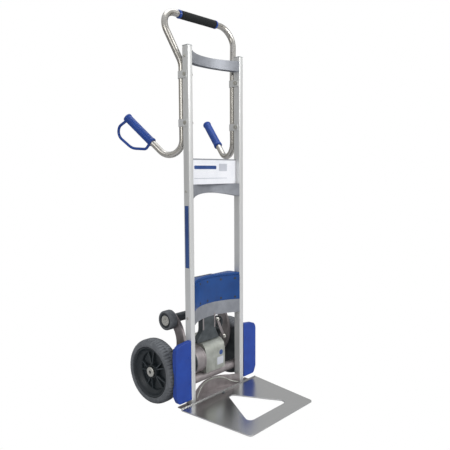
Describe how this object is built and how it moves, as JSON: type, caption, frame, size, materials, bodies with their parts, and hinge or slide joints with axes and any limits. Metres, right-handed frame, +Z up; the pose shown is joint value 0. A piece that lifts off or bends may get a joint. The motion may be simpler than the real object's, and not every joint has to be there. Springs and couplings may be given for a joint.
{
  "type": "stair climbing trolley",
  "caption": "Upright hand truck with tall rails, a flat toe plate, curved handles and motor-driven arms whose small support wheels lift it up stairs.",
  "frame": {"origin": "on the floor, midway between the rails, under their front faces (underside of the foot strip)", "axes": "-Y towards the load side and toe plate, +X to the viewer's right facing the load side, +Z up"},
  "size_m": [0.514, 0.6619, 1.558],
  "materials": {
    "rail_aluminium": "mill-finished extruded aluminium",
    "grey_plastic": "moulded grey plastic",
    "cast_grey": "satin grey cast aluminium",
    "white_plate": "blank white plate",
    "toe_steel": "brushed sheet metal",
    "blue_plastic": "moulded blue plastic",
    "tyre_grey": "grey solid tyre",
    "rim_black": "black moulded rim",
    "bright_metal": "bright metal",
    "dark_casting": "dark grey casting",
    "foam_black": "black foam",
    "board_green": "circuit board"
  },
  "bodies": {
    "frame": {"rail_left": "rail_aluminium", "rail_right": "rail_aluminium", "clamp_upper_left": "rail_aluminium", "clamp_upper_right": "rail_aluminium", "clamp_lower_left": "rail_aluminium", "clamp_lower_right": "rail_aluminium", "rail_cap_left": "grey_plastic", "rail_cap_right": "grey_plastic", "top_crossmember": "cast_grey", "middle_crossmember": "cast_grey", "lower_crossmember": "cast_grey", "toe_bracket": "cast_grey", "gear_housing_left": "cast_grey", "gear_housing_right": "cast_grey", "lower_cross_tube": "cast_grey", "name_plate": "white_plate", "toe_plate": "toe_steel", "battery_case": "blue_plastic", "wheel_guard_left": "blue_plastic", "wheel_guard_right": "blue_plastic", "main_axle": "bright_metal", "clamp_bolt_upper_left": "bright_metal", "clamp_bolt_upper_right": "bright_metal", "clamp_bolt_lower_left": "bright_metal", "clamp_bolt_lower_right": "bright_metal", "axle_bracket_left": "dark_casting", "axle_bracket_right": "dark_casting", "motor_can": "dark_casting", "motor_end_cap": "dark_casting", "gearbox_neck": "dark_casting", "battery_tray": "dark_casting", "toe_screw": "dark_casting", "control_board": "board_green"},
    "handle": {"handle_tube_left": "bright_metal", "handle_tube_right": "bright_metal", "top_grip": "foam_black", "grip_collar_left": "blue_plastic", "grip_collar_right": "blue_plastic", "hand_grip_left": "blue_plastic", "hand_grip_right": "blue_plastic"},
    "wheel_left": {"tyre_left": "tyre_grey", "rim_left": "rim_black", "hub_cap_left": "bright_metal"},
    "wheel_right": {"tyre_right": "tyre_grey", "rim_right": "rim_black", "hub_cap_right": "bright_metal"},
    "lift": {"lift_arm_left": "cast_grey", "lift_arm_right": "cast_grey", "lift_shaft": "bright_metal", "lift_cross_tube": "dark_casting", "drive_gear": "bright_metal"},
    "rotor": {"motor_pinion": "bright_metal"},
    "support_wheel_left": {"support_tyre_left": "tyre_grey", "support_hub_left": "bright_metal"},
    "support_wheel_right": {"support_tyre_right": "tyre_grey", "support_hub_right": "bright_metal"},
    "battery": {"battery_pack": "grey_plastic"},
    "switch": {"power_switch": "blue_plastic"},
    "button": {"lift_button": "foam_black"}
  },
  "joints": [
    {"name": "wheel_left_spin", "type": "hinge", "parent": "frame", "child": "wheel_left", "pos_m": [-0.223, 0.145, 0.13], "axis": [1, 0, 0], "continuous": true},
    {"name": "wheel_right_spin", "type": "hinge", "parent": "frame", "child": "wheel_right", "pos_m": [0.223, 0.145, 0.13], "axis": [1, 0, 0], "continuous": true},
    {"name": "lift_swing", "type": "hinge", "parent": "frame", "child": "lift", "pos_m": [0, 0.145, 0.13], "axis": [-1, 0, 0], "range_deg": [0, 183]},
    {"name": "motor_spin", "type": "hinge", "parent": "frame", "child": "rotor", "pos_m": [0, 0.072, 0.156], "axis": [-1, 0, 0], "range_deg": [-735, 3]},
    {"name": "support_wheel_left_spin", "type": "hinge", "parent": "lift", "child": "support_wheel_left", "pos_m": [-0.1615, 0.131, 0.328], "axis": [1, 0, 0], "continuous": true},
    {"name": "support_wheel_right_spin", "type": "hinge", "parent": "lift", "child": "support_wheel_right", "pos_m": [0.1615, 0.131, 0.328], "axis": [1, 0, 0], "continuous": true},
    {"name": "handle_height", "type": "slide", "parent": "frame", "child": "handle", "axis": [0, 0, 1], "range_m": [-0.012, 0.045]},
    {"name": "battery_slide", "type": "slide", "parent": "frame", "child": "battery", "axis": [0, 0, 1], "range_m": [0, 0.125]},
    {"name": "power_rocker", "type": "hinge", "parent": "frame", "child": "switch", "pos_m": [0.104, 0.0665, 0.4625], "axis": [1, 0, 0], "range_deg": [-8, 8]},
    {"name": "lift_button_press", "type": "slide", "parent": "handle", "child": "button", "axis": [0.2465, -0.6961, -0.6743], "range_m": [0, 0.003], "stiffness_N_per_m": 400, "springref_m": -0.003}
  ],
  "couplings": [
    {"joint": "motor_spin", "follows": "lift_swing", "ratio": -4}
  ]
}
